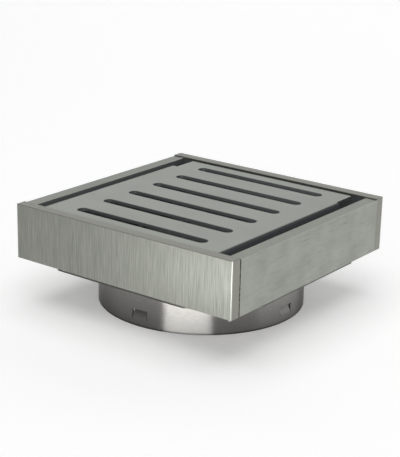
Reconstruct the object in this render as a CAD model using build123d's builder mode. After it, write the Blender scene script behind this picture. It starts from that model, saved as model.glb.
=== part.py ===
# Square floor waste: a welded frame of four thick flat bars, a floor sheet inside it, an
# octagonal flange drawn down into a round outlet collar, and a loose folded grate with slots.
# Millimetres, +Z up. Origin: centre of the collar's lower rim, on which the waste stands.
# +X runs to the right along the front bar, +Y to the back.

import os
from math import cos, degrees, radians, sin

from build123d import *

# Frame bars
frame_width = 100.0
frame_depth = 100.0
front_bar_height = 21.25
side_bar_drop = 0.5
front_bar_thickness = 4.4
side_bar_thickness = 5.1
front_seam = 0.25
corner_radius = 0.35
arris = 0.15

# Outlet collar and its flange, one drawn sheet
collar_diameter = 80.0
collar_sheet = 0.9
collar_drop = 17.85
collar_bend = 1.0
flange_inset = 0.6
flange_corner_cut = 19.5
flange_corner_round = 2.0

# Lances: tabs cut on three sides in the collar's wall and pressed inwards
lance_width = 6.2
lance_slit = 0.25
lance_root = 2.6
lance_top = 6.5
lance_depth = 1.3
front_lance_angle = -87.4
right_lance_angle = -1.2

# Floor sheet inside the frame
floor_sheet = 1.0
floor_clearance = 0.1

# Weld beads up the inside corners
weld_leg = 2.0
weld_height = 12.0

# Grate, a folded sheet that stands on its two legs
grate_sheet = 1.2
grate_bend = 0.4
grate_recess = 0.6
grate_left_clearance = 2.9
grate_right_clearance = 4.1
grate_front_clearance = 0.1
grate_back_clearance = 1.35
notch_length = 11.2
left_notch = 3.3
right_notch = 1.6

# Slots in the grate
slot_count = 6
slot_width = 4.2
slot_left_margin = 12.5
slot_right_margin = 10.8
slot_end_margin = 7.65
slot_arris = 0.2

# Levels
flange_bottom = collar_drop - collar_sheet
frame_bottom = collar_drop
frame_top = frame_bottom + front_bar_height
side_bar_height = front_bar_height - side_bar_drop
floor_top = frame_bottom + floor_sheet
grate_top = frame_top - grate_recess

# Inside of the frame
inner_width = frame_width - 2 * side_bar_thickness
inner_depth = frame_depth - 2 * front_bar_thickness

# Collar radii
collar_outer = collar_diameter / 2
collar_inner = collar_outer - collar_sheet

os.makedirs("parts", exist_ok=True)


# Front and back bars: full width, the outer upright corners softly rounded
with BuildPart() as front_plate:
    with BuildSketch(Plane.XY.offset(frame_bottom)):
        with Locations((0, -(frame_depth - front_bar_thickness) / 2)):
            Rectangle(frame_width, front_bar_thickness)
    extrude(amount=front_bar_height)
    fillet(front_plate.edges().filter_by(Axis.Z).group_by(Axis.Y)[0], corner_radius)
    chamfer(front_plate.faces().sort_by(Axis.Z)[-1].edges(), arris)

with BuildPart() as back_plate:
    with BuildSketch(Plane.XY.offset(frame_bottom)):
        with Locations((0, (frame_depth - front_bar_thickness) / 2)):
            Rectangle(frame_width, front_bar_thickness)
    extrude(amount=front_bar_height)
    fillet(back_plate.edges().filter_by(Axis.Z).group_by(Axis.Y)[-1], corner_radius)
    chamfer(back_plate.faces().sort_by(Axis.Z)[-1].edges(), arris)


# Side bars: a little lower, tight against the back bar, a hairline short of the front one
side_bar_length = inner_depth - front_seam
side_bar_y = front_seam / 2

with BuildPart() as left_plate:
    with BuildSketch(Plane.XY.offset(frame_bottom)):
        with Locations((-(frame_width - side_bar_thickness) / 2, side_bar_y)):
            Rectangle(side_bar_thickness, side_bar_length)
    extrude(amount=side_bar_height)
    chamfer(left_plate.faces().sort_by(Axis.Z)[-1].edges().filter_by(Axis.Y), arris)

with BuildPart() as right_plate:
    with BuildSketch(Plane.XY.offset(frame_bottom)):
        with Locations(((frame_width - side_bar_thickness) / 2, side_bar_y)):
            Rectangle(side_bar_thickness, side_bar_length)
    extrude(amount=side_bar_height)
    chamfer(right_plate.faces().sort_by(Axis.Z)[-1].edges().filter_by(Axis.Y), arris)


# Floor sheet: closes the frame's corners and lies on the flange, flush with the collar's bore
with BuildPart() as floor_plate:
    with BuildSketch(Plane.XY.offset(frame_bottom)):
        Rectangle(inner_width - 2 * floor_clearance, inner_depth - 2 * floor_clearance)
        Circle(collar_inner, mode=Mode.SUBTRACT)
    extrude(amount=floor_sheet)


# Weld beads: one up each inside corner of the frame, rounded between the two bars
with BuildPart() as corner_welds:
    with BuildSketch(Plane.XY.offset(floor_top)):
        with GridLocations(inner_width, inner_depth, 2, 2):
            Circle(weld_leg)
        Rectangle(inner_width, inner_depth, mode=Mode.INTERSECT)
    extrude(amount=weld_height)


# Outlet collar: octagonal flange, drawn bend and tube of one sheet, with four lances
bend_start = collar_outer + collar_bend
bend_outer = collar_bend + collar_sheet
bend_level = flange_bottom - collar_bend
bend_slant = cos(radians(45))
lance_arc = degrees(lance_width / collar_outer)
lance_angles = [
    front_lance_angle,
    right_lance_angle,
    front_lance_angle + 180,
    right_lance_angle + 180,
]

with BuildPart() as outlet_collar:
    with BuildSketch(Plane.XY.offset(flange_bottom)) as flange:
        Rectangle(frame_width - 2 * flange_inset, frame_depth - 2 * flange_inset)
        chamfer(flange.vertices(), flange_corner_cut)
        fillet(flange.vertices(), flange_corner_round)
        Circle(bend_start, mode=Mode.SUBTRACT)
    extrude(amount=collar_sheet)
    with BuildSketch(Plane.XZ):
        with BuildLine():
            Polyline(
                (collar_inner, bend_level),
                (collar_inner, 0),
                (collar_outer, 0),
                (collar_outer, bend_level),
            )
            ThreePointArc(
                (collar_outer, bend_level),
                (bend_start - collar_bend * bend_slant, bend_level + collar_bend * bend_slant),
                (bend_start, flange_bottom),
            )
            Line((bend_start, flange_bottom), (bend_start, frame_bottom))
            ThreePointArc(
                (bend_start, frame_bottom),
                (bend_start - bend_outer * bend_slant, bend_level + bend_outer * bend_slant),
                (collar_inner, bend_level),
            )
        make_face()
    revolve(axis=Axis.Z)

    for angle in lance_angles:
        outward = (cos(radians(angle)), sin(radians(angle)), 0)
        wall_plane = Plane(origin=(0, 0, 0), x_dir=(-outward[1], outward[0], 0), z_dir=outward)
        with BuildSketch(wall_plane.offset(collar_inner - lance_depth)):
            with Locations((0, (lance_root + lance_top) / 2)):
                Rectangle(lance_width + 2 * lance_slit, lance_top - lance_root)
        extrude(amount=2 * lance_depth + collar_sheet, mode=Mode.SUBTRACT)

    for angle in lance_angles:
        start = radians(angle - lance_arc / 2)
        edge_plane = Plane(
            origin=(0, 0, 0),
            x_dir=(cos(start), sin(start), 0),
            z_dir=(sin(start), -cos(start), 0),
        )
        tab_top = lance_top - lance_slit
        with BuildSketch(edge_plane):
            with BuildLine():
                Line((collar_inner, lance_root), (collar_outer, lance_root))
                outer_lean = TangentArc(
                    (collar_outer, lance_root),
                    (collar_outer - lance_depth, tab_top),
                    tangent=(0, 1),
                )
                Line(outer_lean @ 1, (collar_inner - lance_depth, tab_top))
                inner_lean = TangentArc(
                    (collar_inner, lance_root),
                    (collar_inner - lance_depth, tab_top),
                    tangent=(0, 1),
                )
            make_face()
        revolve(axis=Axis.Z, revolution_arc=lance_arc)


# Grate: an inverted channel, its legs cut short at the back, with a row of round-ended slots
grate_left = -inner_width / 2 + grate_left_clearance
grate_right = inner_width / 2 - grate_right_clearance
grate_front = -inner_depth / 2 + grate_front_clearance
grate_back = inner_depth / 2 - grate_back_clearance
grate_width = grate_right - grate_left
grate_depth = grate_back - grate_front
grate_middle_x = (grate_left + grate_right) / 2
grate_middle_y = (grate_front + grate_back) / 2
leg_height = grate_top - floor_top
notch_middle_y = grate_back - notch_length / 2
slot_length = grate_width - slot_left_margin - slot_right_margin
slot_middle_x = grate_left + slot_left_margin + slot_length / 2
slot_pitch = (grate_depth - 2 * slot_end_margin) / (slot_count - 1)
fold_outer = grate_bend + grate_sheet

with BuildPart() as grate:
    with BuildSketch(Plane.XZ.offset(-grate_back)):
        with Locations((grate_middle_x, floor_top + leg_height / 2)):
            outside = Rectangle(grate_width, leg_height)
        fillet(outside.vertices().group_by(Axis.Y)[-1], fold_outer)
        with BuildSketch(mode=Mode.PRIVATE) as channel:
            with Locations((grate_middle_x, floor_top + (leg_height - grate_sheet) / 2)):
                Rectangle(grate_width - 2 * grate_sheet, leg_height - grate_sheet)
            fillet(channel.vertices().group_by(Axis.Y)[-1], grate_bend)
        add(channel.sketch, mode=Mode.SUBTRACT)
    extrude(amount=grate_depth)
    with BuildSketch(Plane.XY.offset(floor_top)):
        with Locations((grate_left + left_notch / 2, notch_middle_y)):
            Rectangle(left_notch, notch_length)
        with Locations((grate_right - right_notch / 2, notch_middle_y)):
            Rectangle(right_notch, notch_length)
    extrude(amount=leg_height, mode=Mode.SUBTRACT)
    with BuildSketch(Plane.XY.offset(grate_top)):
        with Locations((slot_middle_x, grate_middle_y)):
            with GridLocations(0, slot_pitch, 1, slot_count):
                SlotOverall(slot_length, slot_width)
    extrude(amount=-grate_sheet, mode=Mode.SUBTRACT)
    top_face = grate.faces().filter_by(Plane.XY).sort_by(Axis.Z)[-1]
    chamfer(top_face.inner_wires().edges(), slot_arris)


front_plate.part.label = "front_plate"
back_plate.part.label = "back_plate"
left_plate.part.label = "left_plate"
right_plate.part.label = "right_plate"
floor_plate.part.label = "floor_plate"
corner_welds.part.label = "corner_welds"
outlet_collar.part.label = "outlet_collar"
grate.part.label = "grate"

export_step(front_plate.part, "parts/front_plate.step")
export_step(back_plate.part, "parts/back_plate.step")
export_step(left_plate.part, "parts/left_plate.step")
export_step(right_plate.part, "parts/right_plate.step")
export_step(floor_plate.part, "parts/floor_plate.step")
export_step(corner_welds.part, "parts/corner_welds.step")
export_step(outlet_collar.part, "parts/outlet_collar.step")
export_step(grate.part, "parts/grate.step")
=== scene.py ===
# %% [markdown]
# # A square floor waste in brushed stainless steel
#
# The object is a square drain for a tiled floor: four thick flat bars welded into a frame, a
# loose grate folded from sheet, and a round outlet collar below. The imported model brings every
# piece at its real size, in metres, with the collar's rim standing at height zero.
#
# This lesson gives the pieces their finishes, adds the small weld detail that solids leave out,
# and lights them as in a plain studio. We load the imported model first. Nothing added later may
# reach outside it.

# %% Load the imported model
import math

import bmesh
import bpy
from mathutils import Matrix, Vector


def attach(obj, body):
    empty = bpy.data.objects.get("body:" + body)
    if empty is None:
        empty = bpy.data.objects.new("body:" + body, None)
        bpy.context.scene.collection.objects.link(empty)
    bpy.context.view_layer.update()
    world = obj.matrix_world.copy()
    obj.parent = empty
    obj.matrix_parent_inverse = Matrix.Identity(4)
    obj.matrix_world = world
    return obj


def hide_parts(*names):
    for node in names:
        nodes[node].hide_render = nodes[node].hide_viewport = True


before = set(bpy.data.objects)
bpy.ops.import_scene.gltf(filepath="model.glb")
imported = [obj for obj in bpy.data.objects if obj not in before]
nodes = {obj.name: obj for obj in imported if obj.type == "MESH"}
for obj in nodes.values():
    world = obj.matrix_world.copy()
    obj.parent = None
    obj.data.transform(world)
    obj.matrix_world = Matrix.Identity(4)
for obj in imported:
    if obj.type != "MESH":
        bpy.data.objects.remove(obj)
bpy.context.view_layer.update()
print("pieces:", ", ".join(sorted(nodes)))

# %% [markdown]
# ## Small helpers
#
# Colours are written as the hex values that a screen shows. Cycles works with linear light, so
# one function converts them. A second function adds a node, sets its properties and joins its
# sockets in one call, which keeps the long node trees readable. Sockets are named, or numbered
# where a kind of node is used often: Map Range takes its value, its range and the range that
# this becomes as 0 to 4, and Mix takes its share as 0, numbers as 2 and 3 and colours as 6 and 7.

# %% Colour and node helpers
MM = 0.001


def linear(hex_colour):
    """A screen colour such as "#a5a9a2" as linear red, green, blue and alpha."""
    channels = []
    for start in (1, 3, 5):
        value = int(hex_colour[start:start + 2], 16) / 255
        channels.append(value / 12.92 if value <= 0.04045 else ((value + 0.055) / 1.055) ** 2.4)
    return (*channels, 1.0)


def add(tree, kind, inputs=None, **settings):
    """Adds one node. An input is a value, an output, or a node whose first output is linked."""
    node = tree.nodes.new(kind)
    for name, value in settings.items():
        setattr(node, name, value)
    for key, value in (inputs or {}).items():
        if isinstance(value, bpy.types.Node):
            value = value.outputs[0]
        if isinstance(value, bpy.types.NodeSocket):
            tree.links.new(value, node.inputs[key])
        else:
            node.inputs[key].default_value = value
    return node


print("a mid grey of #808080 is", round(linear("#808080")[0], 3), "in linear light")

# %% [markdown]
# ## The camera
#
# The photograph was matched by its straight edges, which gives the place of the lens, its two
# angles and a slight roll. A long lens keeps the near corner from looming. The camera looks along
# its own -Z axis, so the columns of its matrix are the directions right, up and back.

# %% Place the camera
camera_place = Vector((0.288753, -0.388547, 0.185478))
camera_azimuth = math.radians(36.74)
camera_elevation = math.radians(18.06)
camera_roll = math.radians(1.33)
focal_pixels = 1323.2
image_height_pixels = 457

back = Vector((
    math.sin(camera_azimuth) * math.cos(camera_elevation),
    -math.cos(camera_azimuth) * math.cos(camera_elevation),
    math.sin(camera_elevation),
))
level_right = Vector((math.cos(camera_azimuth), math.sin(camera_azimuth), 0))
level_up = back.cross(level_right)
right = math.cos(camera_roll) * level_right + math.sin(camera_roll) * level_up
up = -math.sin(camera_roll) * level_right + math.cos(camera_roll) * level_up

camera_data = bpy.data.cameras.new("camera")
camera_data.sensor_width = 36
camera_data.lens = focal_pixels * camera_data.sensor_width / image_height_pixels
camera_data.clip_start = 0.01
camera = bpy.data.objects.new("camera", camera_data)
camera.matrix_world = Matrix((
    (right.x, up.x, back.x, camera_place.x),
    (right.y, up.y, back.y, camera_place.y),
    (right.z, up.z, back.z, camera_place.z),
    (0, 0, 0, 1),
))
bpy.context.scene.collection.objects.link(camera)
bpy.context.scene.camera = camera
print("lens in mm:", round(camera_data.lens, 1))

# %% [markdown]
# ## Floor
#
# The product stands on a white sheet. The sheet is matt and takes the soft shadow. For the camera
# and for mirror rays it also has an even glow, so that it stays white where the lamps fall off,
# and the steel shows that white too.

# %% Build the floor
floor_half_size = 3.0
floor_glow = 0.24

floor_mesh = bpy.data.meshes.new("floor")
floor_mesh.from_pydata(
    [
        (-floor_half_size, -floor_half_size, 0),
        (floor_half_size, -floor_half_size, 0),
        (floor_half_size, floor_half_size, 0),
        (-floor_half_size, floor_half_size, 0),
    ],
    [],
    [(0, 1, 2, 3)],
)
floor = bpy.data.objects.new("floor", floor_mesh)
bpy.context.scene.collection.objects.link(floor)

paper = bpy.data.materials.new("matt white backdrop paper")
paper.use_nodes = True
tree = paper.node_tree
tree.nodes.clear()
rays = add(tree, "ShaderNodeLightPath")
mirrored = add(
    tree, "ShaderNodeMath",
    {0: rays.outputs["Is Glossy Ray"], 1: rays.outputs["Is Transmission Ray"]},
    operation="MAXIMUM",
)
seen = add(
    tree, "ShaderNodeMath", {0: rays.outputs["Is Camera Ray"], 1: mirrored}, operation="MAXIMUM",
)
strength = add(tree, "ShaderNodeMath", {0: seen, 1: floor_glow}, operation="MULTIPLY")
matt = add(tree, "ShaderNodeBsdfDiffuse", {"Color": linear("#f4f4f4")})
glow = add(tree, "ShaderNodeEmission", {"Color": linear("#ffffff"), "Strength": strength})
both = add(tree, "ShaderNodeAddShader", {0: matt, 1: glow})
add(tree, "ShaderNodeOutputMaterial", {"Surface": both})
floor_mesh.materials.append(paper)
print("the floor glows with a strength of", floor_glow)

# %% [markdown]
# ## World
#
# The world is a room: bright along the horizon, where its pale walls are, and dim overhead. Steel
# mirrors the walls on its upright faces and the ceiling on its level ones, so this fade alone
# already tells the two apart.

# %% Build the world
wall_strength = 0.36
ceiling_strength = 0.12
walls_end = 0.1        # height of the direction, from 0 at the horizon to 1 overhead
ceiling_starts = 0.45

world = bpy.data.worlds.new("pale room")
bpy.context.scene.world = world
world.use_nodes = True
tree = world.node_tree
tree.nodes.clear()
direction = add(tree, "ShaderNodeTexCoord")
height = add(tree, "ShaderNodeSeparateXYZ", {0: direction.outputs["Generated"]})
room = add(
    tree, "ShaderNodeMapRange",
    {
        "Value": height.outputs["Z"], "From Min": walls_end, "From Max": ceiling_starts,
        "To Min": wall_strength, "To Max": ceiling_strength,
    },
)
sky = add(tree, "ShaderNodeBackground", {"Color": linear("#ffffff"), "Strength": room})
add(tree, "ShaderNodeOutputWorld", {"Surface": sky})

view = bpy.context.scene.view_settings
view.view_transform = "Standard"
print("room strength: walls", wall_strength, "ceiling", ceiling_strength)

# %% [markdown]
# ## Soft boxes
#
# Brushed metal is drawn by what it reflects, so the lamps are rectangles with straight edges.
# The big top, back and fill boxes light everything evenly, and the floor box whitens the paper.
#
# The small ones stand close and low. The front box is a slim strip before the near corner: from
# there its light falls off fast along the front bar, which gives the bar its slope from bright
# to grey and the worn corner its thin highlight. The band box draws the hard-edged bright band
# on the collar, and the side box lifts the collar's right side a little. The right box stands
# higher and brightens the right side bar.

# %% A helper for lamps
def soft_box(name, azimuth, elevation, distance, width, height, power):
    """A rectangular lamp that faces the object. Azimuth 0 is in front, 90 on the right."""
    turn = math.radians(azimuth)
    tilt = math.radians(elevation)
    towards_lamp = Vector((
        math.sin(turn) * math.cos(tilt), -math.cos(turn) * math.cos(tilt), math.sin(tilt),
    ))
    data = bpy.data.lights.new(name, "AREA")
    data.shape = "RECTANGLE"
    data.size = width
    data.size_y = height
    data.energy = power
    lamp = bpy.data.objects.new(name, data)
    lamp.location = distance * towards_lamp
    lamp.rotation_euler = towards_lamp.to_track_quat("Z", "Y").to_euler()
    lamp.visible_camera = False
    bpy.context.scene.collection.objects.link(lamp)
    return lamp


# %% Place the lamps
front_box = soft_box(
    "front_box", azimuth=15, elevation=5, distance=0.12, width=0.08, height=0.02, power=0.03,
)
band_box = soft_box(
    "band_box", azimuth=24.5, elevation=5.5, distance=0.2, width=0.165, height=0.038, power=0.43,
)
side_box = soft_box(
    "side_box", azimuth=125, elevation=5.5, distance=0.2, width=0.24, height=0.038, power=0.06,
)
right_box = soft_box(
    "right_box", azimuth=72, elevation=42, distance=0.4, width=0.4, height=0.25, power=0.5,
)
top_box = soft_box(
    "top_box", azimuth=0, elevation=85, distance=1.2, width=1.4, height=1.4, power=6.0,
)
back_box = soft_box(
    "back_box", azimuth=202, elevation=32, distance=1.2, width=2.6, height=0.8, power=5.3,
)
fill_box = soft_box(
    "fill_box", azimuth=36, elevation=36, distance=1.2, width=1.6, height=0.8, power=3.0,
)
floor_box = soft_box(
    "floor_box", azimuth=0, elevation=85, distance=1.2, width=1.4, height=1.4, power=12.0,
)
lamps = (front_box, band_box, side_box, right_box, top_box, back_box, fill_box, floor_box)
print("lamps:", ", ".join(lamp.name for lamp in lamps))

# %% [markdown]
# ## Flags for the lamps
#
# Light linking says what a lamp reaches, as a flag or a card does in a studio. The floor box
# reaches the paper only, the front box the bars only, and the band and side boxes the collar
# only. The right box reaches everything but the paper. So the slots stay dark and no small box
# prints a hot spot on the paper.

# %% Say what the lamps reach
paper_only = bpy.data.collections.new("lit by the floor box")
paper_only.objects.link(floor)
floor_box.light_linking.receiver_collection = paper_only

bars_only = bpy.data.collections.new("lit by the front box")
for bar in ("front_plate", "back_plate", "left_plate", "right_plate"):
    bars_only.objects.link(nodes[bar])
front_box.light_linking.receiver_collection = bars_only

collar_only = bpy.data.collections.new("lit by the band and side boxes")
collar_only.objects.link(nodes["outlet_collar"])
band_box.light_linking.receiver_collection = collar_only
side_box.light_linking.receiver_collection = collar_only

all_but_paper = bpy.data.collections.new("not lit by the right box")
all_but_paper.objects.link(floor)
all_but_paper.collection_objects[0].light_linking.link_state = "EXCLUDE"
right_box.light_linking.receiver_collection = all_but_paper
for lamp in lamps:
    linked = lamp.light_linking.receiver_collection
    print(lamp.name, "is", linked.name if linked else "free to reach everything")

# %% [markdown]
# ## Linished flat bar
#
# The front bar has fine upright lines of uneven length, as a coarse grinding belt leaves them, and
# the side bar only soft level clouds, as a finer belt would. The arris above the side bar and the
# front bar's upright corner are painted lighter, which is a painted highlight; the corner is also
# smoother. The inside below the lip looks dark. Here that is a dull mill skin, which is a guess,
# since nobody can see what finish it has.
#
# A belt's lines are taken to be about 0.05 mm wide, much finer than a pixel of this picture. The
# patterns below are three times as coarse or more, because otherwise they would average away.
#
# One Principled shader can hold all of that. Masks from the surface's own direction and height
# choose between the finishes, and noise stretched along the belt's path draws the lines.

# %% Helpers for steel
soft_noise = (0.3, 0.7)      # noise gathers round 0.5, so these become 0 and 1
firm_noise = (0.36, 0.64)    # the same with more contrast


def start_steel(name):
    """A metal with its node tree, Principled shader and texture coordinates."""
    material = bpy.data.materials.new(name)
    material.use_nodes = True
    tree = material.node_tree
    tree.nodes.clear()
    shader = add(tree, "ShaderNodeBsdfPrincipled", {"Metallic": 1.0})
    add(tree, "ShaderNodeOutputMaterial", {"Surface": shader})
    place = add(tree, "ShaderNodeTexCoord")
    return material, tree, shader, place


def grain(tree, place, sizes_mm, detail=2.0):
    """A pattern whose grains have the given sizes in millimetres along X, Y and Z."""
    scale = tuple(1 / (MM * size) for size in sizes_mm)
    mapping = add(
        tree, "ShaderNodeMapping", {"Vector": place.outputs["Object"], "Scale": scale},
    )
    return add(
        tree, "ShaderNodeTexNoise", {"Vector": mapping, "Scale": 1.0, "Detail": detail},
    )


print("noise from", soft_noise[0], "to", soft_noise[1], "becomes 0 to 1")

# %% [markdown]
# ## Where the steel is old or tinted
#
# Two masks are needed by more than one piece. The first finds faces that look into the frame, by
# comparing the direction in which a face looks with the way outwards from the middle. The second
# follows the seam at the front corners with a ragged hairline, as heat would tint it.

# %% Masks for old skin and heat tint
lip_bottom = 38.0 * MM
lip_top = 38.3 * MM
seam_y = -45.475 * MM
tint_wander = 0.25 * MM
tint_core = 0.15 * MM
tint_reach = 0.45 * MM


def old_skin(tree, place):
    """1 on upright faces that look into the frame, below the ground lip, and 0 elsewhere."""
    level = add(
        tree, "ShaderNodeVectorMath", {0: place.outputs["Object"], 1: (1, 1, 0)},
        operation="MULTIPLY",
    )
    outward = add(tree, "ShaderNodeVectorMath", {0: level}, operation="NORMALIZE")
    turned = add(
        tree, "ShaderNodeVectorMath", {0: place.outputs["Normal"], 1: outward},
        operation="DOT_PRODUCT",
    )
    inward = add(tree, "ShaderNodeMapRange", {0: turned.outputs["Value"], 1: -0.3, 2: -0.5})
    height = add(tree, "ShaderNodeSeparateXYZ", {0: place.outputs["Object"]})
    below = add(tree, "ShaderNodeMapRange", {0: height.outputs["Z"], 1: lip_top, 2: lip_bottom})
    return add(tree, "ShaderNodeMath", {0: inward, 1: below}, operation="MULTIPLY")


def heat_tint(tree, place):
    """1 in a ragged hairline beside the welded seam at the front corners, fading to 0."""
    ragged = grain(tree, place, (0.5, 0.5, 0.9), 3.0)
    wander = add(
        tree, "ShaderNodeMapRange",
        {0: ragged, 1: soft_noise[0], 2: soft_noise[1], 3: -tint_wander, 4: tint_wander},
    )
    where = add(tree, "ShaderNodeSeparateXYZ", {0: place.outputs["Object"]})
    off_seam = add(
        tree, "ShaderNodeMath", {0: where.outputs["Y"], 1: seam_y}, operation="SUBTRACT",
    )
    wandering = add(tree, "ShaderNodeMath", {0: off_seam, 1: wander}, operation="ADD")
    distance = add(tree, "ShaderNodeMath", {0: wandering}, operation="ABSOLUTE")
    return add(tree, "ShaderNodeMapRange", {0: distance, 1: tint_reach, 2: tint_core})


print("the ground lip ends at", round(lip_bottom / MM, 1), "mm")

# %% [markdown]
# ## Where a bar has edges and corners
#
# The parts of a bar are told apart by the direction in which a face looks. A wide face looks
# along one axis, a broken upper edge slopes by 45 degrees, and a rounded upright corner looks
# along two axes at once, so there the product of the two is not zero.

# %% Masks on a bar
arris_slope = 0.707
arris_tolerance = 0.12


def wide_side(tree, place, wide_face):
    """1 on the two wide faces of a bar, and 0 on its edges and ends."""
    turned = add(
        tree, "ShaderNodeVectorMath", {0: place.outputs["Normal"], 1: wide_face},
        operation="DOT_PRODUCT",
    )
    wide = add(tree, "ShaderNodeMath", {0: turned.outputs["Value"]}, operation="ABSOLUTE")
    return add(tree, "ShaderNodeMapRange", {0: wide, 1: 0.5, 2: 0.8})


def broken_arris(tree, direction):
    """1 on the broken upper edges, and 0 elsewhere."""
    return add(
        tree, "ShaderNodeMath", {0: direction.outputs["Z"], 1: arris_slope, 2: arris_tolerance},
        operation="COMPARE",
    )


def upright_corner(tree, direction):
    """1 on the rounded upright corners, and 0 elsewhere."""
    both_ways = add(
        tree, "ShaderNodeMath", {0: direction.outputs["X"], 1: direction.outputs["Y"]},
        operation="MULTIPLY",
    )
    diagonal = add(tree, "ShaderNodeMath", {0: both_ways}, operation="ABSOLUTE")
    return add(tree, "ShaderNodeMapRange", {0: diagonal, 1: 0.03, 2: 0.12})


print("a broken edge looks up by", arris_slope, "give or take", arris_tolerance)

# %% [markdown]
# ## The bars' material
#
# The colour is built up in layers, from the widest to the smallest: belt lines and clouds on the
# wide faces, a few light scratches, the plainer edges, the broken arris, painted light on the side
# bars as a painted highlight, the painted highlight on the rounded corner, the heat tint and last
# the old skin inside. Anisotropy spreads a highlight across the lines, and the tangent says which
# way that is.

# %% The bars' material
# painted highlight on the rounded upright corner
corner_highlight_colour = "#b4b6af"
tint_colour = "#5f5c55"
skin_colour = "#909395"
edge_roughness = 0.42
corner_roughness = 0.3
skin_roughness = 0.6
rare_noise = (0.62, 0.74)    # only the peaks of the noise become scratches
scratch_share = 0.7


def linished_bar(
    name, wide_face, line_sizes, cloud_sizes, cloud_share, scratch_sizes, ground, trimmed,
    scratched, arris_colour_and_highlight, roughness, relief, tangent,
):
    """Flat bar with belt lines on its wide faces. Two colours are a darker and a lighter one."""
    material, tree, shader, place = start_steel(name)
    direction = add(tree, "ShaderNodeSeparateXYZ", {0: place.outputs["Normal"]})
    is_wide = wide_side(tree, place, wide_face)
    is_arris = broken_arris(tree, direction)
    is_corner = upright_corner(tree, direction)
    is_old = old_skin(tree, place)

    lines = grain(tree, place, line_sizes, 3.0)
    cloud = grain(tree, place, cloud_sizes)
    both = add(tree, "ShaderNodeMix", {0: cloud_share, 2: lines, 3: cloud})
    streak = add(tree, "ShaderNodeMapRange", {0: both, 1: firm_noise[0], 2: firm_noise[1]})
    scratches = grain(tree, place, scratch_sizes, 1.0)
    is_scratch = add(
        tree, "ShaderNodeMapRange",
        {0: scratches, 1: rare_noise[0], 2: rare_noise[1], 3: 0.0, 4: scratch_share},
    )

    wide_colour = add(
        tree, "ShaderNodeMix", {0: streak, 6: linear(ground[0]), 7: linear(ground[1])},
        data_type="RGBA",
    )
    wide_scratched = add(
        tree, "ShaderNodeMix",
        {0: is_scratch, 6: wide_colour.outputs[2], 7: linear(scratched)}, data_type="RGBA",
    )
    edge_colour = add(
        tree, "ShaderNodeMix", {0: streak, 6: linear(trimmed[0]), 7: linear(trimmed[1])},
        data_type="RGBA",
    )
    outside = add(
        tree, "ShaderNodeMix",
        {0: is_wide, 6: edge_colour.outputs[2], 7: wide_scratched.outputs[2]},
        data_type="RGBA",
    )
    # painted highlight: on the side bars the arris colour is lighter, for the lamps' gleam on that
    # edge
    broken = add(
        tree, "ShaderNodeMix", {0: is_arris, 6: outside.outputs[2], 7: linear(arris_colour_and_highlight)},
        data_type="RGBA",
    )
    # painted highlight: the rounded corner is lighter, for the lamps' gleam on it
    corner_highlighted = add(
        tree, "ShaderNodeMix", {0: is_corner, 6: broken.outputs[2], 7: linear(corner_highlight_colour)},
        data_type="RGBA",
    )
    tinted = add(
        tree, "ShaderNodeMix",
        {0: heat_tint(tree, place), 6: corner_highlighted.outputs[2], 7: linear(tint_colour)},
        data_type="RGBA",
    )
    colour = add(
        tree, "ShaderNodeMix", {0: is_old, 6: tinted.outputs[2], 7: linear(skin_colour)},
        data_type="RGBA",
    )
    tree.links.new(colour.outputs[2], shader.inputs["Base Color"])

    ground_rough = add(
        tree, "ShaderNodeMapRange", {0: streak, 3: roughness[0], 4: roughness[1]},
    )
    rough = add(tree, "ShaderNodeMix", {0: is_wide, 2: edge_roughness, 3: ground_rough})
    worn_rough = add(tree, "ShaderNodeMix", {0: is_corner, 2: rough, 3: corner_roughness})
    all_rough = add(tree, "ShaderNodeMix", {0: is_old, 2: worn_rough, 3: skin_roughness})
    tree.links.new(all_rough.outputs[0], shader.inputs["Roughness"])

    height = add(tree, "ShaderNodeMath", {0: both, 1: is_wide}, operation="MULTIPLY")
    bump = add(
        tree, "ShaderNodeBump", {"Height": height, "Strength": 0.5, "Distance": relief * MM},
    )
    tree.links.new(bump.outputs[0], shader.inputs["Normal"])
    shader.inputs["Anisotropic"].default_value = 0.5
    along = add(tree, "ShaderNodeCombineXYZ", dict(enumerate(tangent)))
    tree.links.new(along.outputs[0], shader.inputs["Tangent"])
    return material


# %% Dress the bars
def dress(node, material):
    """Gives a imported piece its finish."""
    mesh = nodes[node].data
    mesh.materials.clear()
    mesh.materials.append(material)


upright_lines = linished_bar(
    "linished stainless bar, upright lines",
    wide_face=(0, 1, 0),
    line_sizes=(0.15, 0.15, 7.0),
    cloud_sizes=(0.45, 0.45, 18.0),
    cloud_share=0.4,
    scratch_sizes=(0.18, 0.18, 12.0),
    ground=("#7f817b", "#95978f"),
    trimmed=("#8e8d86", "#989891"),
    scratched="#a2a59e",
    arris_colour_and_highlight="#8e8d86",
    roughness=(0.58, 0.42),
    relief=0.11,
    tangent=(1, 0.02, 0),
)
level_lines = linished_bar(
    "linished stainless bar, level lines",
    wide_face=(1, 0, 0),
    line_sizes=(0.25, 9.0, 0.25),
    cloud_sizes=(7.0, 11.0, 9.0),
    cloud_share=0.65,
    scratch_sizes=(0.3, 8.0, 0.3),
    ground=("#9fa29a", "#aeb1a9"),
    trimmed=("#94978f", "#9c9f97"),
    scratched="#8b8e87",
    # a lighter arris colour, which is a painted highlight along the upper edge
    arris_colour_and_highlight="#c4c7bf",
    roughness=(0.5, 0.47),
    relief=0.012,
    tangent=(0, 0.02, 1),
)
for node in ("front_plate", "back_plate"):
    dress(node, upright_lines)
for node in ("left_plate", "right_plate"):
    dress(node, level_lines)
print("dressed the four bars")

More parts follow.
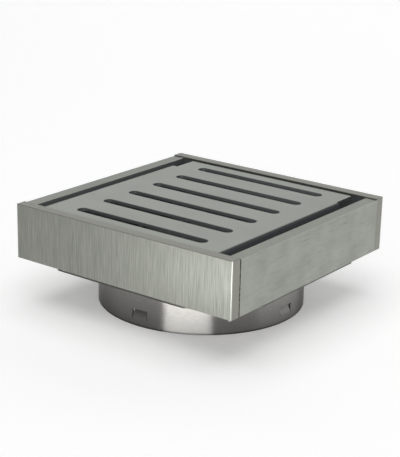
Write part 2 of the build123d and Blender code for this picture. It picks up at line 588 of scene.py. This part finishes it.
# %% [markdown]
# ## Satin grate sheet
#
# The grate is sheet with a satin face. Its slots read as dark strokes, so their cut walls are
# given a dull skin. The edge along the right channel turns dark at once and the left one doesn't.
# A mask that leans to the left tells the two folds apart. The right fold and the legs that face
# right get a darker colour, which is painted shade for the narrow dark channel beside them. Why
# they differ isn't known: that the belt stopped short of the right fold is a guess.

# %% The grate's material
lean_to_left = (-0.45, 0, 1)
satin_colours = ("#93978f", "#9da199")
cut_wall_colour = "#8d9092"
# the next two colours are painted shade for the dark channel on the right
right_leg_shade_colour = "#6c6f71"
right_fold_shade_colour = "#545759"
cut_wall_roughness = 0.75


def satin_sheet():
    """Satin on the face that looks up, a dull skin on cut walls, painted shade on the right fold
    and legs.
    """
    material, tree, shader, place = start_steel("satin stainless sheet")
    fine = grain(tree, place, (9.0, 0.4, 0.4), 3.0)
    cloud = grain(tree, place, (26.0, 18.0, 18.0))
    both = add(tree, "ShaderNodeMix", {0: 0.5, 2: fine, 3: cloud})
    tone = add(tree, "ShaderNodeMapRange", {0: both, 1: firm_noise[0], 2: firm_noise[1]})
    turned = add(
        tree, "ShaderNodeVectorMath", {0: place.outputs["Normal"], 1: lean_to_left},
        operation="DOT_PRODUCT",
    )
    is_face = add(tree, "ShaderNodeMapRange", {0: turned.outputs["Value"], 1: 0.6, 2: 0.88})
    satin = add(
        tree, "ShaderNodeMix",
        {0: tone, 6: linear(satin_colours[0]), 7: linear(satin_colours[1])}, data_type="RGBA",
    )
    direction = add(tree, "ShaderNodeSeparateXYZ", {0: place.outputs["Normal"]})
    is_fold = add(tree, "ShaderNodeMapRange", {0: direction.outputs["Z"], 1: 0.05, 2: 0.3})
    # painted shade: the right fold and the legs facing right are darker
    fold_shade = add(
        tree, "ShaderNodeMix",
        {0: is_fold, 6: linear(right_leg_shade_colour), 7: linear(right_fold_shade_colour)},
        data_type="RGBA",
    )
    is_leg = add(tree, "ShaderNodeMapRange", {0: direction.outputs["X"], 1: 0.6, 2: 0.9})
    is_shaded_fold = add(tree, "ShaderNodeMath", {0: is_leg, 1: is_fold}, operation="MAXIMUM")
    skin = add(
        tree, "ShaderNodeMix",
        {0: is_shaded_fold, 6: linear(cut_wall_colour), 7: fold_shade.outputs[2]},
        data_type="RGBA",
    )
    colour = add(
        tree, "ShaderNodeMix", {0: is_face, 6: skin.outputs[2], 7: satin.outputs[2]},
        data_type="RGBA",
    )
    tree.links.new(colour.outputs[2], shader.inputs["Base Color"])
    face_rough = add(
        tree, "ShaderNodeMapRange",
        {0: fine, 1: soft_noise[0], 2: soft_noise[1], 3: 0.32, 4: 0.4},
    )
    rough = add(tree, "ShaderNodeMix", {0: is_face, 2: cut_wall_roughness, 3: face_rough})
    tree.links.new(rough.outputs[0], shader.inputs["Roughness"])
    bump = add(
        tree, "ShaderNodeBump", {"Height": fine, "Strength": 0.2, "Distance": 0.01 * MM},
    )
    tree.links.new(bump.outputs[0], shader.inputs["Normal"])
    return material


dress("grate", satin_sheet())
print("dressed the grate")

# %% [markdown]
# ## Drawn collar
#
# The collar is one drawn sheet. Its bright band has sharp sides and runs the full height, which
# is what lines round a tube do: they spread a reflection up and down but keep its sides sharp.
# That is anisotropy with an upright tangent. The colour is painted darker towards the foot and has
# a thin dark line at the rim: both are painted shade for the shadowed floor that the collar
# mirrors there. The flange's edge shows as a thin dark line, so it is taken as sheared and left
# rough.

# %% The collar's material
polished_colours = ("#8e8c89", "#9b9995")
# painted shade: darker towards the foot, for the shadowed floor that the collar mirrors there
foot_shade_colour = "#6a6967"
# painted shade: a thin dark line along the rim, where the collar meets its shadow
rim_shade_colour = "#3b3a38"
bore_colour = "#6a6a69"
sheared_colour = "#807e7b"
foot_shade_from, foot_shade_to = 14 * MM, 1 * MM
foot_shade_share = 0.8
rim_shade_from, rim_shade_to = 0.9 * MM, 0.2 * MM
flange_from, flange_to = 16.6 * MM, 16.9 * MM
sheared_roughness = 0.7


def drawn_collar():
    """Drawn sheet polished round its axis."""
    material, tree, shader, place = start_steel("drawn stainless collar")
    lines = grain(tree, place, (1.6, 1.6, 0.5), 3.0)
    tone = add(tree, "ShaderNodeMapRange", {0: lines, 1: soft_noise[0], 2: soft_noise[1]})
    polished = add(
        tree, "ShaderNodeMix",
        {0: tone, 6: linear(polished_colours[0]), 7: linear(polished_colours[1])},
        data_type="RGBA",
    )
    height = add(tree, "ShaderNodeSeparateXYZ", {0: place.outputs["Object"]})
    # painted shade, growing darker towards the foot
    foot_shade = add(
        tree, "ShaderNodeMapRange",
        {0: height.outputs["Z"], 1: foot_shade_from, 2: foot_shade_to, 3: 0.0, 4: foot_shade_share},
    )
    foot_shaded = add(
        tree, "ShaderNodeMix", {0: foot_shade, 6: polished.outputs[2], 7: linear(foot_shade_colour)},
        data_type="RGBA",
    )
    # painted shade, a thin dark line at the rim
    rim_shade = add(tree, "ShaderNodeMapRange", {0: height.outputs["Z"], 1: rim_shade_from, 2: rim_shade_to})
    rim_shaded = add(
        tree, "ShaderNodeMix", {0: rim_shade, 6: foot_shaded.outputs[2], 7: linear(rim_shade_colour)},
        data_type="RGBA",
    )
    inside = add(
        tree, "ShaderNodeMix",
        {0: old_skin(tree, place), 6: rim_shaded.outputs[2], 7: linear(bore_colour)},
        data_type="RGBA",
    )
    direction = add(tree, "ShaderNodeSeparateXYZ", {0: place.outputs["Normal"]})
    flatness = add(tree, "ShaderNodeMath", {0: direction.outputs["Z"]}, operation="ABSOLUTE")
    upright = add(tree, "ShaderNodeMapRange", {0: flatness, 1: 0.5, 2: 0.2})
    at_flange = add(
        tree, "ShaderNodeMapRange", {0: height.outputs["Z"], 1: flange_from, 2: flange_to},
    )
    is_sheared = add(tree, "ShaderNodeMath", {0: upright, 1: at_flange}, operation="MULTIPLY")
    colour = add(
        tree, "ShaderNodeMix", {0: is_sheared, 6: inside.outputs[2], 7: linear(sheared_colour)},
        data_type="RGBA",
    )
    tree.links.new(colour.outputs[2], shader.inputs["Base Color"])
    polish = add(
        tree, "ShaderNodeMapRange",
        {0: lines, 1: soft_noise[0], 2: soft_noise[1], 3: 0.31, 4: 0.37},
    )
    rough = add(tree, "ShaderNodeMix", {0: is_sheared, 2: polish, 3: sheared_roughness})
    tree.links.new(rough.outputs[0], shader.inputs["Roughness"])
    shader.inputs["Anisotropic"].default_value = 1.0
    shader.inputs["Specular Tint"].default_value = linear("#d2d2d2")
    along = add(tree, "ShaderNodeCombineXYZ", {0: 0.02, 1: 0, 2: 1})
    tree.links.new(along.outputs[0], shader.inputs["Tangent"])
    return material


dress("outlet_collar", drawn_collar())
print("dressed the collar")

# %% [markdown]
# ## Floor sheet
#
# The thin sheet inside the frame shows only through the slots and from above when the grate is
# out. Its mill finish is dull and a little cloudy, and its colour is darker than the other
# steel's, which is painted shade for the dim inside of the frame.

# %% The floor sheet's material
def mill_sheet():
    """Dull sheet as it left the mill, darkened as painted shade."""
    material, tree, shader, place = start_steel("dull mill finish sheet")
    cloud = grain(tree, place, (7.0, 7.0, 7.0), 4.0)
    tone = add(tree, "ShaderNodeMapRange", {0: cloud, 1: soft_noise[0], 2: soft_noise[1]})
    colour = add(
        # painted shade: these colours are darker than the other steel, for the dim inside of the
        # frame
        tree, "ShaderNodeMix", {0: tone, 6: linear("#686b6d"), 7: linear("#777a7c")},
        data_type="RGBA",
    )
    tree.links.new(colour.outputs[2], shader.inputs["Base Color"])
    rough = add(
        tree, "ShaderNodeMapRange",
        {0: cloud, 1: soft_noise[0], 2: soft_noise[1], 3: 0.5, 4: 0.62},
    )
    tree.links.new(rough.outputs[0], shader.inputs["Roughness"])
    return material


dress("floor_plate", mill_sheet())
print("dressed the floor sheet")

# %% [markdown]
# ## Weld metal
#
# The beads inside the frame are inferred, because something has to hold the bars together. They
# are made as a tungsten arc with filler wire would leave them: the bead freezes in small ripples,
# and its heat leaves a brown tint.

# %% The weld metal
def weld_metal():
    """Weld metal with a faint heat tint."""
    material, tree, shader, place = start_steel("tungsten arc weld metal")
    tint = grain(tree, place, (1.2, 1.2, 0.6), 3.0)
    tone = add(tree, "ShaderNodeMapRange", {0: tint, 1: soft_noise[0], 2: soft_noise[1]})
    colour = add(
        tree, "ShaderNodeMix", {0: tone, 6: linear("#5a5651"), 7: linear("#8a847a")},
        data_type="RGBA",
    )
    tree.links.new(colour.outputs[2], shader.inputs["Base Color"])
    rough = add(
        tree, "ShaderNodeMapRange",
        {0: tint, 1: soft_noise[0], 2: soft_noise[1], 3: 0.38, 4: 0.5},
    )
    tree.links.new(rough.outputs[0], shader.inputs["Roughness"])
    return material


bead_metal = weld_metal()
print("made the weld metal")

# %% [markdown]
# ## Weld beads
#
# A bead runs up each inside corner of the frame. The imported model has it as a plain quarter
# round. Here it gets its ripples. The same bead is needed four times and follows a rule, so
# Geometry Nodes make it: a pie slice is swept along an upright line whose radius ripples, the
# result is placed on four points and turned to face the middle, and a little noise makes the
# four differ.

# %% Helpers for geometry trees
def start_tree(name, sizes):
    """A geometry tree with one named input for each size, and its group input node."""
    tree = bpy.data.node_groups.new(name, "GeometryNodeTree")
    tree.interface.new_socket("Geometry", in_out="OUTPUT", socket_type="NodeSocketGeometry")
    for size, value in sizes.items():
        is_material = isinstance(value, bpy.types.Material)
        kind = "NodeSocketMaterial" if is_material else "NodeSocketFloat"
        tree.interface.new_socket(size, in_out="INPUT", socket_type=kind)
    return tree, add(tree, "NodeGroupInput")


def grow(name, tree, sizes):
    """Evaluates a geometry tree and keeps its result as a plain mesh object."""
    piece = bpy.data.objects.new(name, bpy.data.meshes.new(name))
    bpy.context.scene.collection.objects.link(piece)
    modifier = piece.modifiers.new("build", "NODES")
    modifier.node_group = tree
    for item in tree.interface.items_tree:
        if item.in_out == "INPUT":
            modifier[item.identifier] = sizes[item.name]
    graph = bpy.context.evaluated_depsgraph_get()
    mesh = bpy.data.meshes.new_from_object(piece.evaluated_get(graph))
    piece.modifiers.remove(modifier)
    piece.data = mesh
    print(name, "has", len(mesh.polygons), "faces")
    return piece


def report_reach(piece):
    """Prints the lowest and highest corner of a piece in millimetres."""
    for low_or_high in (min, max):
        print([
            round(low_or_high(vertex.co[axis] for vertex in piece.data.vertices) / MM, 2)
            for axis in range(3)
        ])


# %% One rippled bead
bead_sizes = {
    "Leg": 2.0 * MM,
    "Foot": 18.85 * MM,
    "Head": 30.85 * MM,
    "Between Corners X": 89.8 * MM,
    "Between Corners Y": 91.2 * MM,
    "Ripple Pitch": 0.9 * MM,
    "Ripple Depth": 0.14,
    "Unevenness": 0.25 * MM,
    "Seed": 3.0,
    "Metal": bead_metal,
}
steps_in_a_ripple = 6.0
points_in_the_slice = 9

tree, size = start_tree("weld beads", bead_sizes)
foot = add(tree, "ShaderNodeCombineXYZ", {2: size.outputs["Foot"]})
head = add(tree, "ShaderNodeCombineXYZ", {2: size.outputs["Head"]})
line = add(tree, "GeometryNodeCurvePrimitiveLine", {"Start": foot, "End": head})
step = add(
    tree, "ShaderNodeMath", {0: size.outputs["Ripple Pitch"], 1: steps_in_a_ripple},
    operation="DIVIDE",
)
points = add(tree, "GeometryNodeResampleCurve", {"Curve": line, "Length": step}, mode="LENGTH")
position = add(tree, "GeometryNodeInputPosition")
along = add(tree, "ShaderNodeSeparateXYZ", {0: position})
turns = add(
    tree, "ShaderNodeMath", {0: along.outputs["Z"], 1: size.outputs["Ripple Pitch"]},
    operation="DIVIDE",
)
half_turns = add(tree, "ShaderNodeMath", {0: turns, 1: math.pi}, operation="MULTIPLY")
wave = add(tree, "ShaderNodeMath", {0: half_turns}, operation="SINE")
crest = add(tree, "ShaderNodeMath", {0: wave}, operation="ABSOLUTE")
valley = add(tree, "ShaderNodeMath", {0: 1.0, 1: crest}, operation="SUBTRACT")
dip = add(
    tree, "ShaderNodeMath", {0: valley, 1: size.outputs["Ripple Depth"]}, operation="MULTIPLY",
)
swell = add(tree, "ShaderNodeMath", {0: 1.0, 1: dip}, operation="SUBTRACT")
rippled = add(tree, "GeometryNodeSetCurveRadius", {"Curve": points, "Radius": swell})
slice_curve = add(
    tree, "GeometryNodeCurveArc",
    {
        "Resolution": points_in_the_slice, "Radius": size.outputs["Leg"], "Start Angle": 0.0,
        "Sweep Angle": math.pi / 2, "Connect Center": True,
    },
    mode="RADIUS",
)
bead = add(
    tree, "GeometryNodeCurveToMesh",
    {"Curve": rippled, "Profile Curve": slice_curve, "Fill Caps": True},
)
print("a bead has a ripple every", round(bead_sizes["Ripple Pitch"] / MM, 2), "mm")

# %% Four beads in the corners
bead_noise_scale = 450.0

corners = add(
    tree, "GeometryNodeMeshGrid",
    {
        "Size X": size.outputs["Between Corners X"], "Size Y": size.outputs["Between Corners Y"],
        "Vertices X": 2, "Vertices Y": 2,
    },
)
corner = add(tree, "ShaderNodeSeparateXYZ", {0: position})
side_x = add(tree, "ShaderNodeMath", {0: corner.outputs["X"]}, operation="SIGN")
side_y = add(tree, "ShaderNodeMath", {0: corner.outputs["Y"]}, operation="SIGN")
angle = add(tree, "ShaderNodeMath", {0: side_y, 1: side_x}, operation="ARCTAN2")
turn = add(tree, "ShaderNodeMath", {0: angle, 1: math.radians(135)}, operation="ADD")
rotation = add(tree, "ShaderNodeCombineXYZ", {2: turn})
four = add(
    tree, "GeometryNodeInstanceOnPoints",
    {"Points": corners, "Instance": bead, "Rotation": rotation},
)
real = add(tree, "GeometryNodeRealizeInstances", {0: four})
unlike = add(
    tree, "ShaderNodeTexNoise",
    {
        "Vector": position, "W": size.outputs["Seed"], "Scale": bead_noise_scale, "Detail": 1.0,
    },
    noise_dimensions="4D",
)
centred = add(
    tree, "ShaderNodeVectorMath", {0: unlike.outputs["Color"], 1: (0.5, 0.5, 0.5)},
    operation="SUBTRACT",
)
nudge = add(
    tree, "ShaderNodeVectorMath", {0: centred, "Scale": size.outputs["Unevenness"]},
    operation="SCALE",
)
uneven = add(tree, "GeometryNodeSetPosition", {"Geometry": real, "Offset": nudge})
smooth = add(tree, "GeometryNodeSetShadeSmooth", {0: uneven, "Shade Smooth": False})
metal = add(
    tree, "GeometryNodeSetMaterial", {"Geometry": smooth, "Material": size.outputs["Metal"]},
)
add(tree, "NodeGroupOutput", {0: metal})

weld_beads = grow("weld_beads", tree, bead_sizes)
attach(weld_beads, "root")
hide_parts("corner_welds")
report_reach(weld_beads)

# %% [markdown]
# ## Seam weld
#
# The photo shows a ragged dark line between the front bar and the right side bar. It is read as
# a hairline seam with a thin run of weld in it. It is a wandering line of uneven thickness, so
# Geometry Nodes make it too: an upright line, nudged by noise and swept with a small circle, and
# placed at both corners. It stays inside the seam, behind the bars' outer faces.

# %% One thin run of weld
seam_sizes = {
    "Half Thickness": 0.12 * MM,
    "Foot": 17.95 * MM,
    "Head": 38.45 * MM,
    "Off Middle": 49.7 * MM,
    "Seam Y": seam_y,
    "Wander": 0.3 * MM,
    "Seed": 7.0,
    "Metal": bead_metal,
}
thickness_noise_scale = 900.0
thinnest, thickest = 0.6, 1.15
points_in_the_ring = 8

tree, size = start_tree("seam welds", seam_sizes)
foot = add(tree, "ShaderNodeCombineXYZ", {2: size.outputs["Foot"]})
head = add(tree, "ShaderNodeCombineXYZ", {2: size.outputs["Head"]})
line = add(tree, "GeometryNodeCurvePrimitiveLine", {"Start": foot, "End": head})
points = add(
    tree, "GeometryNodeResampleCurve", {"Curve": line, "Length": size.outputs["Half Thickness"]},
    mode="LENGTH",
)
position = add(tree, "GeometryNodeInputPosition")
thick = add(
    tree, "ShaderNodeTexNoise",
    {
        "Vector": position, "W": size.outputs["Seed"], "Scale": thickness_noise_scale,
        "Detail": 1.0,
    },
    noise_dimensions="4D",
)
swell = add(
    tree, "ShaderNodeMapRange",
    {0: thick, 1: soft_noise[0], 2: soft_noise[1], 3: thinnest, 4: thickest},
)
uneven = add(tree, "GeometryNodeSetCurveRadius", {"Curve": points, "Radius": swell})
ring = add(
    tree, "GeometryNodeCurvePrimitiveCircle",
    {"Resolution": points_in_the_ring, "Radius": size.outputs["Half Thickness"]},
    mode="RADIUS",
)
run = add(
    tree, "GeometryNodeCurveToMesh",
    {"Curve": uneven, "Profile Curve": ring, "Fill Caps": True},
)
print("the run is", round(2 * seam_sizes["Half Thickness"] / MM, 2), "mm thick")

# %% Both seams
wander_noise_scale = 500.0
wander_directions = (1.0, 0.2, 0.0)    # mostly in and out of the seam, which is a hairline wide

minus = add(
    tree, "ShaderNodeMath", {0: size.outputs["Off Middle"], 1: -1.0}, operation="MULTIPLY",
)
left_end = add(tree, "ShaderNodeCombineXYZ", {0: minus, 1: size.outputs["Seam Y"]})
right_end = add(
    tree, "ShaderNodeCombineXYZ", {0: size.outputs["Off Middle"], 1: size.outputs["Seam Y"]},
)
ends = add(
    tree, "GeometryNodeMeshLine", {"Count": 2, "Start Location": left_end, "Offset": right_end},
    mode="END_POINTS",
)
two = add(tree, "GeometryNodeInstanceOnPoints", {"Points": ends, "Instance": run})
real = add(tree, "GeometryNodeRealizeInstances", {0: two})
drift = add(
    tree, "ShaderNodeTexNoise",
    {
        "Vector": position, "W": size.outputs["Seed"], "Scale": wander_noise_scale,
        "Detail": 1.0,
    },
    noise_dimensions="4D",
)
centred = add(
    tree, "ShaderNodeVectorMath", {0: drift.outputs["Color"], 1: (0.5, 0.5, 0.5)},
    operation="SUBTRACT",
)
sideways = add(
    tree, "ShaderNodeVectorMath", {0: centred, 1: wander_directions}, operation="MULTIPLY",
)
nudge = add(
    tree, "ShaderNodeVectorMath", {0: sideways, "Scale": size.outputs["Wander"]},
    operation="SCALE",
)
wandering = add(tree, "GeometryNodeSetPosition", {"Geometry": real, "Offset": nudge})
metal = add(
    tree, "GeometryNodeSetMaterial", {"Geometry": wandering, "Material": size.outputs["Metal"]},
)
add(tree, "NodeGroupOutput", {0: metal})

seam_welds = grow("seam_welds", tree, seam_sizes)
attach(seam_welds, "root")
report_reach(seam_welds)

# %% [markdown]
# ## Burr
#
# Under the near end of the front bar the photo shows a tiny point, read as a burr. It is a thin
# curled wedge of a few faces, and so small that its points are simply written down. The faces are
# cut into triangles and turned outwards, and the signed volume shows whether that went right.

# %% Make the burr
burr_points_mm = [
    (49.85, -49.75, 17.87),
    (49.4, -49.98, 17.87),
    (48.7, -49.95, 17.87),
    (49.1, -49.4, 17.87),
    (49.2, -49.95, 17.5),
    (48.75, -49.98, 17.3),
    (48.95, -49.75, 17.5),
]
burr_faces = [
    (0, 3, 2, 1), (0, 1, 4), (1, 5, 4), (1, 2, 5), (2, 3, 6, 5), (3, 0, 6), (0, 4, 6), (4, 5, 6),
]
burr_mesh = bpy.data.meshes.new("corner_burr")
burr_mesh.from_pydata([Vector(point) * MM for point in burr_points_mm], [], burr_faces)
shell = bmesh.new()
shell.from_mesh(burr_mesh)
bmesh.ops.triangulate(shell, faces=shell.faces)
bmesh.ops.recalc_face_normals(shell, faces=shell.faces)
burr_volume = shell.calc_volume(signed=True)
shell.to_mesh(burr_mesh)
shell.free()
burr_mesh.materials.append(upright_lines)
corner_burr = bpy.data.objects.new("corner_burr", burr_mesh)
bpy.context.scene.collection.objects.link(corner_burr)
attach(corner_burr, "root")
print("burr volume in cubic mm:", round(burr_volume / MM ** 3, 3))
